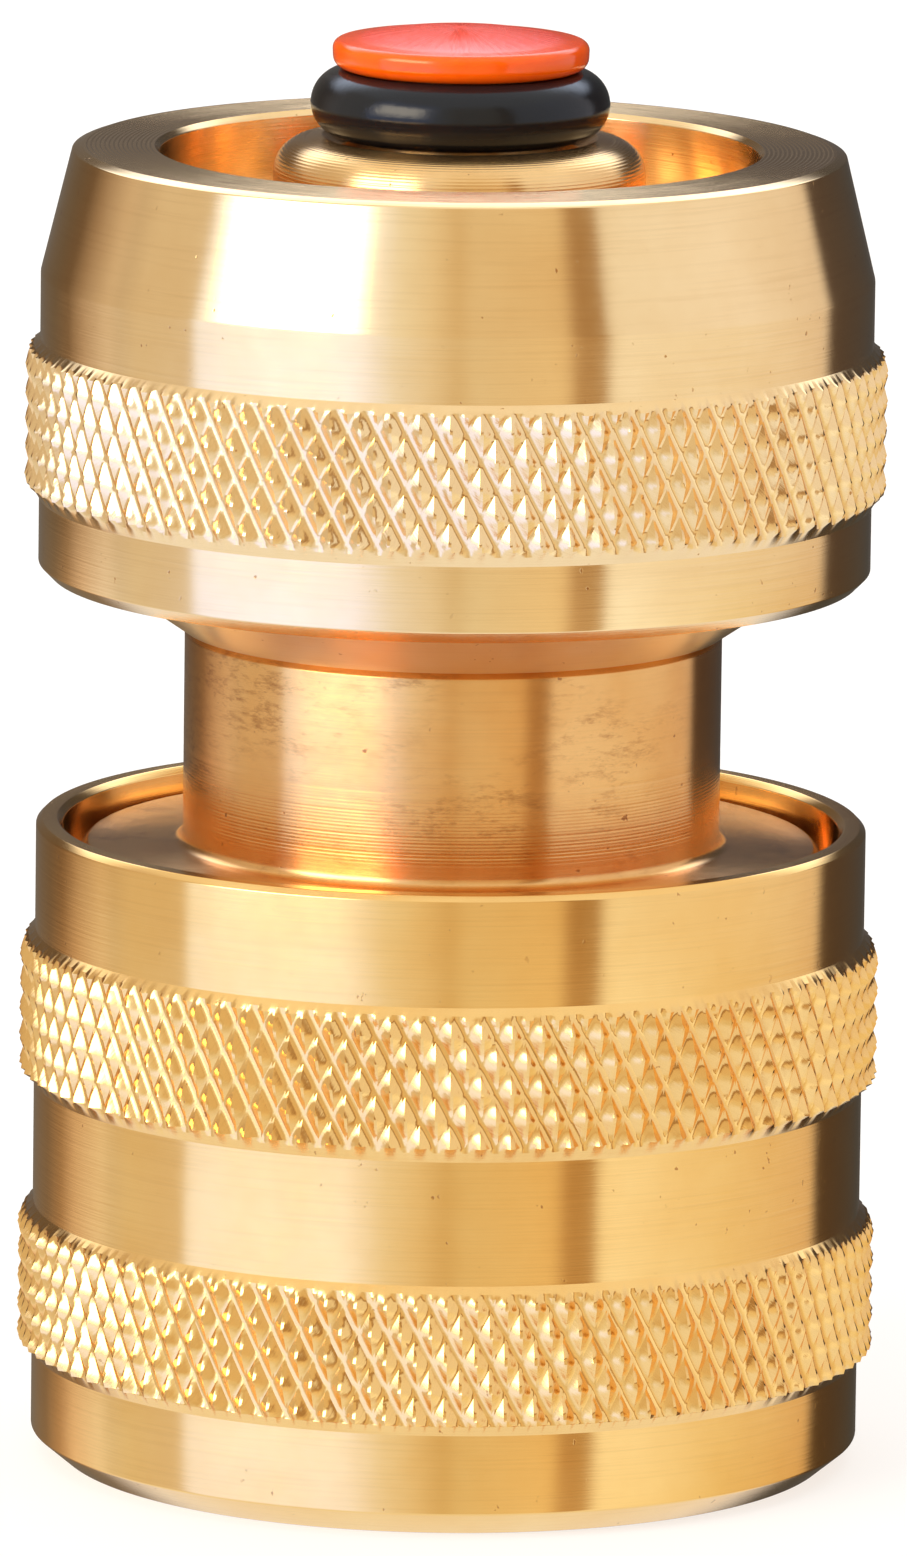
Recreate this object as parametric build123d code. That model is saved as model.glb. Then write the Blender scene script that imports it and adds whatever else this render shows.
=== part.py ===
from build123d import *
import os

# Brass push-fit hose coupling with an automatic water stop.
# Millimetres, +Z along the coupling's axis towards its mouth, origin at the centre of the hose nut's bottom face.

# Outer grip surfaces, shared by the hose nut and the release sleeve
GRIP_R = 15.9
KNURL_R = 16.5
KNURL_EDGE = 0.3

# Hose nut
NUT_TOP = 24.65
NUT_RIM_EDGE = 0.22
NUT_FOOT_R = 14.75
NUT_FOOT_CHAMFER = 0.95
NUT_KNURLS = ((4.0, 9.75), (14.5, 20.4))
NUT_RIM_BORE_R = 14.85
NUT_RIM_DEPTH = 3.15
HOSE_HOLE_R = 9.75
HOSE_HOLE_DEPTH = 3.0

# Clamping thread between the tail body and the hose nut
THREAD_PITCH = 1.5
THREAD_BOTTOM = 13.0
THREAD_TOP = 21.3
MALE_ROOT_R = 12.8
FEMALE_ROOT_R = 13.75
RIDGE_HEIGHT = 0.75
RIDGE_FOOT = 1.0
RIDGE_CREST = 0.3
RIDGE_EMBED = 0.1

# Hose tail and collet
TAIL_BOTTOM = 3.5
TAIL_BORE_R = 4.8
TAIL_VALLEY_R = 6.0
TAIL_CREST_R = 6.6
TAIL_BARBS = 3
TAIL_LAND = 1.0
SKIRT_BOTTOM = 12.2
COLLET_BOTTOM = 3.3
COLLET_TOP = 11.9
COLLET_TAPER_TOP = 10.5
COLLET_FOOT_R = 10.0
COLLET_HEAD_R = 12.35
COLLET_BORE_R = 8.8
COLLET_SLOTS = 8
COLLET_SLOT = 1.2
COLLET_SLOT_ROOF = 0.7
COLLET_LEAD_IN = 0.8
COLLET_TEETH = ((8.6, 9.0), (6.2, 6.6))
COLLET_TOOTH_DEPTH = 0.4
TAPER_GAP = 0.15

# Tail body above the hose nut
FLANGE_R = 14.15
FLANGE_BOTTOM = 21.6
FLANGE_TOP = 23.85
NECK_R = 10.28
NECK_TOP = 32.15
NECK_FILLET = 0.8
SPIGOT_R = 9.5
SPIGOT_SOCKET_BOTTOM = 26.4
SEAL_BORE_R = 7.15
SEAL_BORE_BOTTOM = 15.3
TUBE_SEAL_BOTTOM = 24.7
STEM_SHOULDER = 13.6
RING_TOP = 16.1
RING_GROOVE_R = 7.75
RING_WIDTH = 1.55
RING_OPENING = 4.0
TURNED_EDGE = 0.25
HEAD_LEDGE = 0.1

# Socket body: head, ball cage and mouth of the locking socket
HEAD_R = 13.4
HEAD_BOTTOM = 34.2
SPRING_SEAT = 34.45
SPRING_SEAT_WALL_R = 13.0
HEAD_TOP = 35.2
CAGE_R = 10.6
CAGE_TOP = 47.7
SOCKET_R = 8.75
SOCKET_BOTTOM = 31.6
SPRING_CHAMBER_R = 8.4
SPIGOT_BOTTOM = 27.2
NIPPLE_SEAL_Z = 37.0
NIPPLE_SEAL_GROOVE = 2.0
SOCKET_LEAD_IN = (0.4, 0.7)

# Ball lock
BALL_COUNT = 6
BALL_R = 1.6
BALL_CENTRE_R = 8.97
BALL_Z = 41.3
BALL_HOLE_R = 1.65
BALL_LIP_R = 1.57
BALL_LIP_X = 8.65

# Release sleeve
RUNNING_GAP = 0.05
SLEEVE_BOTTOM = 34.2
SLEEVE_FOOT_CHAMFER = 0.45
SLEEVE_KNURL = (37.15, 43.25)
SLEEVE_TAPER_BOTTOM = 45.8
SLEEVE_TOP = 50.65
SLEEVE_RIM_R = 14.35
SLEEVE_RIM_EDGE_R = 14.75
SLEEVE_RIM_EDGE_DROP = 0.15
MOUTH_R = 11.4
MOUTH_EDGE = 0.15
CAM_SLOPE = 0.45
CAM_BOTTOM = 40.9
LAND_BOTTOM = 40.2
RELIEF_R = 12.1
RELIEF_TOP = 46.0
LIP_TOP = 46.6

# Snap ring that stops the sleeve at the mouth end
SNAP_RING_Z = 46.65
SNAP_RING_HEIGHT = 0.7
SNAP_RING_R = 11.35
SNAP_RING_BORE_R = 10.05
SNAP_RING_GAP = 1.6

# Valve tube, the domed nose that shuts on the stem's O-ring
TUBE_R = 7.1
TUBE_BORE_R = 5.2
TUBE_BOTTOM = 22.6
TUBE_FLANGE_R = 8.25
TUBE_FLANGE_BOTTOM = 38.0
TUBE_FLANGE_TOP = 39.3
TUBE_END_CHAMFER = 0.4
NOSE_BORE_STEP = 0.6
DOME_TOP = 51.0
DOME_FILLET = 1.4
LIP_R = 5.5
LIP_HEIGHT = 0.25
NOSE_MOUTH_R = 4.6
NOSE_MOUTH_Z = 50.6
NOSE_MOUTH_TOP_R = 5.2
NOSE_MOUTH_DEPTH = 2.2

# Stem, its spider, O-ring and cap
ROD_R = 2.0
STUD_R = 1.5
STUD_BOTTOM = 13.0
SPIDER_TOP = 15.3
SPIDER_R = 7.1
SPIDER_RIM = 1.2
HUB_R = 3.4
ARM_WIDTH = 1.8
ARM_COUNT = 3
COLLAR_R = 3.9
COLLAR_BOTTOM = 50.0
COLLAR_TOP = 51.05
COLLAR_CONE = 1.7
SPINDLE_R = 3.08
SPINDLE_TOP = 53.7
NOSE_SEAL_Z = 52.38
NOSE_SEAL_R = 4.4
NOSE_SEAL_WIRE_R = 1.3
CAP_R = 4.9
CAP_EDGE_TOP = 54.9
CAP_TOP = 55.15
CAP_ROUNDING = 0.25
CAP_STUD_BOTTOM = 50.6
STUD_HOLE_BOTTOM = 50.2

# Springs and small seals
VALVE_SPRING_R = 7.78
VALVE_SPRING_WIRE = 0.9
VALVE_SPRING_TURNS = 4
SLEEVE_SPRING_R = 11.8
SLEEVE_SPRING_WIRE = 0.9
SLEEVE_SPRING_TURNS = 2.5
SPRING_END_GAP = 0.04
WASHER_BORE_R = 7.3
WASHER_R = 9.45
SEAL_GAP = 0.03
TUBE_SEAL_WIRE_R = 0.75
NIPPLE_SEAL_WIRE_R = 0.95
NIPPLE_SEAL_REACH = 0.25


def turned(points):
    """Solid of revolution about the axis, from (radius, height) points."""
    outline = Polyline(*[(radius, 0, height) for radius, height in points], close=True)
    return revolve(make_face(outline), Axis.Z, 360)


def circles(solid, radius, height):
    """Circular edges of one radius at one height."""
    rings = solid.edges().filter_by(GeomType.CIRCLE)
    near_height = rings.filter_by(lambda ring: abs(ring.center().Z - height) < 0.01)
    return near_height.filter_by(lambda ring: abs(ring.radius - radius) < 0.01)


def disc(radius, bottom, top):
    """Solid cylinder on the axis between two heights."""
    return Pos(0, 0, bottom) * Cylinder(
        radius, top - bottom, align=(Align.CENTER, Align.CENTER, Align.MIN)
    )


def tube(radius, bore, bottom, top):
    """Plain ring on the axis between two heights."""
    return disc(radius, bottom, top) - disc(bore, bottom, top)


def o_ring(centre_radius, wire_radius, height):
    """Rubber ring of round section."""
    return Pos(0, 0, height) * Torus(centre_radius, wire_radius)


def spokes(count, width, inner, outer, bottom, top):
    """Radial bars, evenly spaced round the axis."""
    bar = Pos(inner, 0, bottom) * Box(
        outer - inner, width, top - bottom, align=(Align.MIN, Align.CENTER, Align.MIN)
    )
    return [Rot(0, 0, 360 * index / count) * bar for index in range(count)]


def coil(mean_radius, wire, turns, bottom, top):
    """Compression spring of round wire between two seats."""
    height = top - bottom - wire - 2 * SPRING_END_GAP
    path = Helix(pitch=height / turns, height=height, radius=mean_radius)
    path = Pos(0, 0, bottom + wire / 2 + SPRING_END_GAP) * path
    section = Plane(origin=path @ 0, z_dir=path % 0) * Circle(wire / 2)
    return sweep(section, path=path, is_frenet=True)


def thread_ridge(root_radius, outward, bottom, top):
    """Helical ridge of trapezoidal section, standing outward or inward from its root radius."""
    side = 1 if outward else -1
    path = Pos(0, 0, bottom) * Helix(pitch=THREAD_PITCH, height=top - bottom, radius=root_radius)
    foot = root_radius - side * RIDGE_EMBED
    crest = root_radius + side * RIDGE_HEIGHT
    outline = Polyline(
        (foot, 0, bottom - RIDGE_FOOT / 2),
        (root_radius, 0, bottom - RIDGE_FOOT / 2),
        (crest, 0, bottom - RIDGE_CREST / 2),
        (crest, 0, bottom + RIDGE_CREST / 2),
        (root_radius, 0, bottom + RIDGE_FOOT / 2),
        (foot, 0, bottom + RIDGE_FOOT / 2),
        close=True,
    )
    return sweep(make_face(outline), path=path, is_frenet=True)


def knurl_band(bottom, top):
    """Outline points of one raised grip band, from its lower to its upper edge."""
    return [
        (GRIP_R, bottom),
        (KNURL_R, bottom + KNURL_EDGE),
        (KNURL_R, top - KNURL_EDGE),
        (GRIP_R, top),
    ]


def tail_barbs():
    """Outline points of the barbed tail, from its end up to the skirt."""
    pitch = (SKIRT_BOTTOM - TAIL_LAND - TAIL_BOTTOM) / TAIL_BARBS
    points = []
    for index in range(TAIL_BARBS):
        foot = TAIL_BOTTOM + index * pitch
        points.append((TAIL_VALLEY_R, foot))
        points.append((TAIL_CREST_R, foot + pitch))
    points.append((TAIL_VALLEY_R, SKIRT_BOTTOM - TAIL_LAND))
    points.append((TAIL_VALLEY_R, SKIRT_BOTTOM))
    return points


def tube_seal_groove_r():
    """Radius of the counterbore that holds the valve tube's O-ring."""
    return TUBE_R + SEAL_GAP + 2 * TUBE_SEAL_WIRE_R


def make_tail_body():
    """Neck, flange, clamping thread and barbed hose tail, turned from one bar."""
    body = turned(
        [
            (TAIL_BORE_R, TAIL_BOTTOM),
            *tail_barbs(),
            (MALE_ROOT_R, SKIRT_BOTTOM),
            (MALE_ROOT_R, FLANGE_BOTTOM),
            (FLANGE_R, FLANGE_BOTTOM),
            (FLANGE_R, FLANGE_TOP - TURNED_EDGE),
            (FLANGE_R - TURNED_EDGE, FLANGE_TOP),
            (NECK_R, FLANGE_TOP),
            (NECK_R, NECK_TOP - TURNED_EDGE),
            (NECK_R - TURNED_EDGE, NECK_TOP),
            (SPIGOT_R, NECK_TOP),
            (SPIGOT_R, SPIGOT_SOCKET_BOTTOM),
            (tube_seal_groove_r(), SPIGOT_SOCKET_BOTTOM),
            (tube_seal_groove_r(), TUBE_SEAL_BOTTOM),
            (SEAL_BORE_R, TUBE_SEAL_BOTTOM),
            (SEAL_BORE_R, RING_TOP),
            (RING_GROOVE_R, RING_TOP),
            (RING_GROOVE_R, SEAL_BORE_BOTTOM),
            (SEAL_BORE_R, SEAL_BORE_BOTTOM),
            (SEAL_BORE_R, STEM_SHOULDER),
            (TAIL_BORE_R, STEM_SHOULDER),
        ]
    )
    body = fillet(circles(body, NECK_R, FLANGE_TOP), NECK_FILLET)
    ridge = thread_ridge(MALE_ROOT_R, True, THREAD_BOTTOM, THREAD_TOP - RIDGE_FOOT)
    return body + ridge


def ball_angle(index):
    """Direction of one locking ball round the axis, in degrees."""
    return 360 * (index + 0.5) / BALL_COUNT


def make_socket_body():
    """Head, ball cage and threaded spigot of the locking socket."""
    groove_r = SOCKET_R - NIPPLE_SEAL_REACH + 2 * NIPPLE_SEAL_WIRE_R
    body = turned(
        [
            (SPRING_CHAMBER_R, SPIGOT_BOTTOM),
            (SPIGOT_R, SPIGOT_BOTTOM),
            (SPIGOT_R, NECK_TOP),
            (NECK_R + HEAD_LEDGE, NECK_TOP),
            (HEAD_R, HEAD_BOTTOM),
            (HEAD_R, HEAD_TOP),
            (SPRING_SEAT_WALL_R, HEAD_TOP),
            (SPRING_SEAT_WALL_R, SPRING_SEAT),
            (CAGE_R, SPRING_SEAT),
            (CAGE_R, SNAP_RING_Z),
            (SNAP_RING_BORE_R, SNAP_RING_Z),
            (SNAP_RING_BORE_R, SNAP_RING_Z + SNAP_RING_HEIGHT),
            (CAGE_R, SNAP_RING_Z + SNAP_RING_HEIGHT),
            (CAGE_R, CAGE_TOP),
            (SOCKET_R + SOCKET_LEAD_IN[0], CAGE_TOP),
            (SOCKET_R, CAGE_TOP - SOCKET_LEAD_IN[1]),
            (SOCKET_R, NIPPLE_SEAL_Z + NIPPLE_SEAL_GROOVE / 2),
            (groove_r, NIPPLE_SEAL_Z + NIPPLE_SEAL_GROOVE / 2),
            (groove_r, NIPPLE_SEAL_Z - NIPPLE_SEAL_GROOVE / 2),
            (SOCKET_R, NIPPLE_SEAL_Z - NIPPLE_SEAL_GROOVE / 2),
            (SOCKET_R, SOCKET_BOTTOM),
            (SPRING_CHAMBER_R, SOCKET_BOTTOM),
        ]
    )
    hole = Pos(BALL_LIP_X, 0, 0) * Rot(0, 90, 0) * Cylinder(
        BALL_HOLE_R, CAGE_R, align=(Align.CENTER, Align.CENTER, Align.MIN)
    )
    lip = Pos(TUBE_R, 0, 0) * Rot(0, 90, 0) * Cylinder(
        BALL_LIP_R, CAGE_R - TUBE_R, align=(Align.CENTER, Align.CENTER, Align.MIN)
    )
    for index in range(BALL_COUNT):
        body -= Pos(0, 0, BALL_Z) * Rot(0, 0, ball_angle(index)) * (hole + lip)
    return body


def make_lock_ball(index):
    """Steel locking ball, in its locked place in the cage."""
    return Rot(0, 0, ball_angle(index)) * Pos(BALL_CENTRE_R, 0, BALL_Z) * Sphere(BALL_R)


def make_release_sleeve():
    """Knurled sleeve whose cam land holds the balls in, and whose relief lets them out."""
    land_r = CAGE_R + RUNNING_GAP
    cam_top = CAM_BOTTOM + (RELIEF_R - land_r) / CAM_SLOPE
    chamber_r = HEAD_R + RUNNING_GAP
    return turned(
        [
            (chamber_r, SLEEVE_BOTTOM),
            (GRIP_R - SLEEVE_FOOT_CHAMFER, SLEEVE_BOTTOM),
            (GRIP_R, SLEEVE_BOTTOM + SLEEVE_FOOT_CHAMFER),
            *knurl_band(*SLEEVE_KNURL),
            (GRIP_R, SLEEVE_TAPER_BOTTOM),
            (SLEEVE_RIM_EDGE_R, SLEEVE_TOP - SLEEVE_RIM_EDGE_DROP),
            (SLEEVE_RIM_R, SLEEVE_TOP),
            (MOUTH_R + MOUTH_EDGE, SLEEVE_TOP),
            (MOUTH_R, SLEEVE_TOP - MOUTH_EDGE),
            (MOUTH_R, LIP_TOP),
            (land_r, LIP_TOP),
            (land_r, RELIEF_TOP),
            (RELIEF_R, RELIEF_TOP),
            (RELIEF_R, cam_top),
            (land_r, CAM_BOTTOM),
            (land_r, LAND_BOTTOM),
            (chamber_r, LAND_BOTTOM),
        ]
    )


def make_hose_nut():
    """Knurled clamping nut with its thread and the taper that closes the collet."""
    taper_foot = (COLLET_FOOT_R + TAPER_GAP, HOSE_HOLE_DEPTH)
    taper_head = (COLLET_HEAD_R + TAPER_GAP, COLLET_TAPER_TOP)
    first, second = NUT_KNURLS
    body = turned(
        [
            (HOSE_HOLE_R, 0),
            (NUT_FOOT_R, 0),
            (GRIP_R, NUT_FOOT_CHAMFER),
            *knurl_band(*first),
            *knurl_band(*second),
            (GRIP_R, NUT_TOP - NUT_RIM_EDGE),
            (GRIP_R - NUT_RIM_EDGE, NUT_TOP),
            (NUT_RIM_BORE_R + NUT_RIM_EDGE, NUT_TOP),
            (NUT_RIM_BORE_R, NUT_TOP - NUT_RIM_EDGE),
            (NUT_RIM_BORE_R, NUT_TOP - NUT_RIM_DEPTH),
            (FEMALE_ROOT_R, NUT_TOP - NUT_RIM_DEPTH),
            (FEMALE_ROOT_R, THREAD_BOTTOM - RIDGE_FOOT),
            (taper_head[0], THREAD_BOTTOM - RIDGE_FOOT),
            taper_head,
            taper_foot,
            (HOSE_HOLE_R, HOSE_HOLE_DEPTH),
        ]
    )
    half_pitch = THREAD_PITCH / 2
    ridge = thread_ridge(FEMALE_ROOT_R, False, THREAD_BOTTOM + half_pitch, THREAD_TOP - half_pitch)
    return body + ridge


def make_hose_collet():
    """Split grip ring with slotted fingers that the nut's taper closes on the hose."""
    teeth = []
    for foot, crest in COLLET_TEETH:
        teeth.append((COLLET_BORE_R, crest))
        teeth.append((COLLET_BORE_R + COLLET_TOOTH_DEPTH, foot))
    ring = turned(
        [
            (COLLET_BORE_R, COLLET_BOTTOM),
            (COLLET_FOOT_R, COLLET_BOTTOM),
            (COLLET_HEAD_R, COLLET_TAPER_TOP),
            (COLLET_HEAD_R, COLLET_TOP),
            (COLLET_BORE_R + COLLET_LEAD_IN, COLLET_TOP),
            (COLLET_BORE_R, COLLET_TOP - COLLET_LEAD_IN),
            *teeth,
        ]
    )
    slot_top = COLLET_TAPER_TOP - COLLET_SLOT_ROOF
    for slot in spokes(COLLET_SLOTS, COLLET_SLOT, TAIL_CREST_R, KNURL_R, COLLET_BOTTOM, slot_top):
        ring -= slot
    for split in spokes(1, COLLET_SLOT, TAIL_CREST_R, KNURL_R, COLLET_BOTTOM, COLLET_TOP):
        ring -= split
    return ring


def make_valve_tube():
    """Sliding tube with the domed nose, the seat for the stem's O-ring and the flange for the nipple."""
    body = turned(
        [
            (TUBE_BORE_R, TUBE_BOTTOM),
            (TUBE_R - TUBE_END_CHAMFER, TUBE_BOTTOM),
            (TUBE_R, TUBE_BOTTOM + TUBE_END_CHAMFER),
            (TUBE_R, TUBE_FLANGE_BOTTOM),
            (TUBE_FLANGE_R, TUBE_FLANGE_BOTTOM),
            (TUBE_FLANGE_R, TUBE_FLANGE_TOP),
            (TUBE_R, TUBE_FLANGE_TOP),
            (TUBE_R, DOME_TOP),
            (LIP_R, DOME_TOP),
            (LIP_R, DOME_TOP + LIP_HEIGHT),
            (NOSE_MOUTH_TOP_R, DOME_TOP + LIP_HEIGHT),
            (NOSE_MOUTH_R, NOSE_MOUTH_Z),
            (NOSE_MOUTH_R, NOSE_MOUTH_Z - NOSE_MOUTH_DEPTH),
            (TUBE_BORE_R, NOSE_MOUTH_Z - NOSE_MOUTH_DEPTH - NOSE_BORE_STEP),
        ]
    )
    return fillet(circles(body, TUBE_R, DOME_TOP), DOME_FILLET)


def make_valve_stem():
    """Fixed rod through the valve tube, with the spindle that carries the O-ring."""
    return turned(
        [
            (0, STUD_BOTTOM),
            (STUD_R, STUD_BOTTOM),
            (STUD_R, SPIDER_TOP),
            (ROD_R, SPIDER_TOP),
            (ROD_R, COLLAR_BOTTOM - COLLAR_CONE),
            (COLLAR_R, COLLAR_BOTTOM),
            (COLLAR_R, COLLAR_TOP),
            (SPINDLE_R, COLLAR_TOP),
            (SPINDLE_R, SPINDLE_TOP),
            (STUD_R, SPINDLE_TOP),
            (STUD_R, STUD_HOLE_BOTTOM),
            (0, STUD_HOLE_BOTTOM),
        ]
    )


def make_stem_spider():
    """Three-armed carrier that holds the stem on the axis and lets the water past."""
    rim = tube(SPIDER_R, SPIDER_R - SPIDER_RIM, STEM_SHOULDER, SPIDER_TOP)
    hub = disc(HUB_R, STEM_SHOULDER, SPIDER_TOP)
    arms = spokes(ARM_COUNT, ARM_WIDTH, 0, SPIDER_R - SPIDER_RIM / 2, STEM_SHOULDER, SPIDER_TOP)
    body = rim + hub
    for arm in arms:
        body += arm
    return body - disc(STUD_R, STEM_SHOULDER, SPIDER_TOP)


def make_stem_retaining_ring():
    """Open ring of spring steel that holds the spider on its shoulder."""
    ring = tube(RING_GROOVE_R, RING_GROOVE_R - RING_WIDTH, SEAL_BORE_BOTTOM, RING_TOP)
    opening = spokes(1, RING_OPENING, 0, KNURL_R, SEAL_BORE_BOTTOM, RING_TOP)[0]
    return ring - opening


def make_snap_ring():
    """Open ring of spring steel in the cage's outer groove."""
    top = SNAP_RING_Z + SNAP_RING_HEIGHT
    ring = tube(SNAP_RING_R, SNAP_RING_BORE_R, SNAP_RING_Z, top)
    opening = spokes(1, SNAP_RING_GAP, 0, KNURL_R, SNAP_RING_Z, top)[0]
    return ring - opening


def make_stem_cap():
    """Plastic cap with a shallow dome, screwed into the stem over the O-ring."""
    crown_rise = CAP_TOP - CAP_EDGE_TOP
    crown_r = (CAP_R**2 + crown_rise**2) / (2 * crown_rise)
    cap = disc(CAP_R, SPINDLE_TOP, CAP_TOP)
    crown = Pos(0, 0, CAP_TOP - crown_r) * Sphere(crown_r)
    cap = cap & crown
    cap = fillet(circles(cap, CAP_R, SPINDLE_TOP) + circles(cap, CAP_R, CAP_EDGE_TOP), CAP_ROUNDING)
    return cap + disc(STUD_R, CAP_STUD_BOTTOM, SPINDLE_TOP)


def make_valve_spring():
    """Spring that holds the valve tube shut."""
    return coil(
        VALVE_SPRING_R, VALVE_SPRING_WIRE, VALVE_SPRING_TURNS, SPIGOT_BOTTOM, TUBE_FLANGE_BOTTOM
    )


def make_sleeve_spring():
    """Spring that holds the release sleeve towards the mouth."""
    return coil(
        SLEEVE_SPRING_R, SLEEVE_SPRING_WIRE, SLEEVE_SPRING_TURNS, SPRING_SEAT, LAND_BOTTOM
    )


def make_joint_washer():
    """Sealing washer clamped under the spigot, also the valve spring's seat."""
    return tube(WASHER_R, WASHER_BORE_R, SPIGOT_SOCKET_BOTTOM, SPIGOT_BOTTOM)


def make_tube_seal():
    """O-ring that the valve tube slides through."""
    centre_r = TUBE_R + SEAL_GAP + TUBE_SEAL_WIRE_R
    height = (TUBE_SEAL_BOTTOM + SPIGOT_SOCKET_BOTTOM) / 2
    return o_ring(centre_r, TUBE_SEAL_WIRE_R, height)


def make_nipple_seal():
    """O-ring that grips the pushed-in nipple."""
    centre_r = SOCKET_R - NIPPLE_SEAL_REACH + NIPPLE_SEAL_WIRE_R
    return o_ring(centre_r, NIPPLE_SEAL_WIRE_R, NIPPLE_SEAL_Z)


def all_nodes():
    """Every separate piece by its node name."""
    nodes = {
        "tail_body": make_tail_body(),
        "socket_body": make_socket_body(),
        "joint_washer": make_joint_washer(),
        "valve_tube": make_valve_tube(),
        "valve_spring": make_valve_spring(),
        "valve_tube_o_ring": make_tube_seal(),
        "valve_stem": make_valve_stem(),
        "stem_spider": make_stem_spider(),
        "stem_retaining_ring": make_stem_retaining_ring(),
        "nose_o_ring": o_ring(NOSE_SEAL_R, NOSE_SEAL_WIRE_R, NOSE_SEAL_Z),
        "stem_cap": make_stem_cap(),
        "release_sleeve": make_release_sleeve(),
        "sleeve_spring": make_sleeve_spring(),
        "sleeve_snap_ring": make_snap_ring(),
        "nipple_o_ring": make_nipple_seal(),
        "hose_nut": make_hose_nut(),
        "hose_collet": make_hose_collet(),
    }
    for index in range(BALL_COUNT):
        nodes[f"lock_ball_{index + 1}"] = make_lock_ball(index)
    return nodes


os.makedirs("parts", exist_ok=True)
for name, solid in all_nodes().items():
    export_step(solid, f"parts/{name}.step")
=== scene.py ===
import math

import bmesh
import bpy
import numpy as np
from mathutils import Matrix, Vector


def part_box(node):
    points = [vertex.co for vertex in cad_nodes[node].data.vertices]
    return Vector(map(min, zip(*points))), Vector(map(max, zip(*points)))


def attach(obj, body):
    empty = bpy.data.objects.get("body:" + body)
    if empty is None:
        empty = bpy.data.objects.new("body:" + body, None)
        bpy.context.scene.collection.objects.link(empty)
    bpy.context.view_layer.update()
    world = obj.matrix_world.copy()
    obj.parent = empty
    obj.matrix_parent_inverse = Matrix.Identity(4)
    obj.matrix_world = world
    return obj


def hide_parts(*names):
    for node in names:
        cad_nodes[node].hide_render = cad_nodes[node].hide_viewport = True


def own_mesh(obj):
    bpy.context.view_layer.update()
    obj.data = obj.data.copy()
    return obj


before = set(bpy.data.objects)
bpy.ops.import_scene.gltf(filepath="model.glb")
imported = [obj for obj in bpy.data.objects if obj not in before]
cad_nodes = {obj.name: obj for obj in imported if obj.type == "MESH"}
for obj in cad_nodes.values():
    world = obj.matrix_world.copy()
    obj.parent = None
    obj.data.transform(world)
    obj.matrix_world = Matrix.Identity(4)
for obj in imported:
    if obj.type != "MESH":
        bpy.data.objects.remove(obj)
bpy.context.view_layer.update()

MM = 0.001
COARSE = 180          # points round a plain turned ring
FINE = 900            # points round a knurled ring
KNURLS_AROUND = 90
SHARP_ANGLE = math.radians(32)


# ---------------------------------------------------------------- turned shapes

def ring(radius, height, count=COARSE):
    """Points of a circle about the axis, in millimetres. Radius and height may differ from point to point."""
    angles = np.arange(count) * 2 * math.pi / count
    radii = np.broadcast_to(radius, (count,))
    return np.stack([radii * np.cos(angles), radii * np.sin(angles), np.broadcast_to(height, (count,))], 1)


def rounded(points, closed=True, steps=4):
    """Outline with its corners rounded: each point is (r, z) or (r, z, rounding radius)."""
    out = []
    for index, point in enumerate(points):
        here = np.array(point[:2], float)
        if len(point) < 3 or (not closed and index in (0, len(points) - 1)):
            out.append(tuple(here))
            continue
        before = np.array(points[index - 1][:2], float) - here
        after = np.array(points[(index + 1) % len(points)][:2], float) - here
        room = 0.48 * min(np.linalg.norm(before), np.linalg.norm(after))
        before /= np.linalg.norm(before)
        after /= np.linalg.norm(after)
        half = math.acos(np.clip(before @ after, -1, 1)) / 2
        reach = min(point[2] / math.tan(half), room)
        radius = reach * math.tan(half)
        bisector = (before + after) / np.linalg.norm(before + after)
        centre = here + bisector * radius / math.sin(half)
        start, end = here + before * reach - centre, here + after * reach - centre
        turn = math.atan2(start[0] * end[1] - start[1] * end[0], start @ end)
        for step in range(steps + 1):
            a = turn * step / steps
            c, s = math.cos(a), math.sin(a)
            out.append((centre[0] + start[0] * c - start[1] * s, centre[1] + start[0] * s + start[1] * c))
    return out


def plain_rings(outline):
    """Circles through an outline's points."""
    return [ring(r, z) for r, z in outline]


def band_faces(low, high, low_count, high_count, diagonals=None):
    """Faces between two circles, whose first points are numbered low and high, with each cell's diagonal."""
    faces = []
    if low_count == high_count:
        for i in range(low_count):
            j = (i + 1) % low_count
            quad = (low + i, low + j, high + j, high + i)
            if diagonals is None:
                faces.append(quad)
            elif diagonals[i]:
                faces += [(quad[0], quad[1], quad[3]), (quad[1], quad[2], quad[3])]
            else:
                faces += [(quad[0], quad[1], quad[2]), (quad[0], quad[2], quad[3])]
        return faces
    many_first, few_first = (low, high) if low_count > high_count else (high, low)
    share = max(low_count, high_count) // min(low_count, high_count)
    few_count = min(low_count, high_count)
    middle = share // 2
    for i in range(few_count):
        few, few_next = few_first + i, few_first + (i + 1) % few_count
        many = [many_first + (i * share + k) % (few_count * share) for k in range(share + 1)]
        fan = [(few, many[k], many[k + 1]) for k in range(middle)]
        fan.append((few, many[middle], few_next))
        fan += [(few_next, many[k], many[k + 1]) for k in range(middle, share)]
        faces += [f if many_first == high else f[::-1] for f in fan]
    return faces


def make_piece(name, vertices, faces, face_zones=None):
    """Mesh object from millimetre points, smooth with sharp edges where faces turn."""
    mesh = bpy.data.meshes.new(name)
    mesh.from_pydata([tuple(v) for v in np.asarray(vertices) * MM], [], faces)
    mesh.validate()
    if face_zones is not None:
        mesh.polygons.foreach_set("material_index", face_zones)
    mesh.polygons.foreach_set("use_smooth", [True] * len(mesh.polygons))
    mesh.set_sharp_from_angle(angle=SHARP_ANGLE)
    piece = bpy.data.objects.new(name, mesh)
    bpy.context.scene.collection.objects.link(piece)
    outward(mesh)
    return piece


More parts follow.
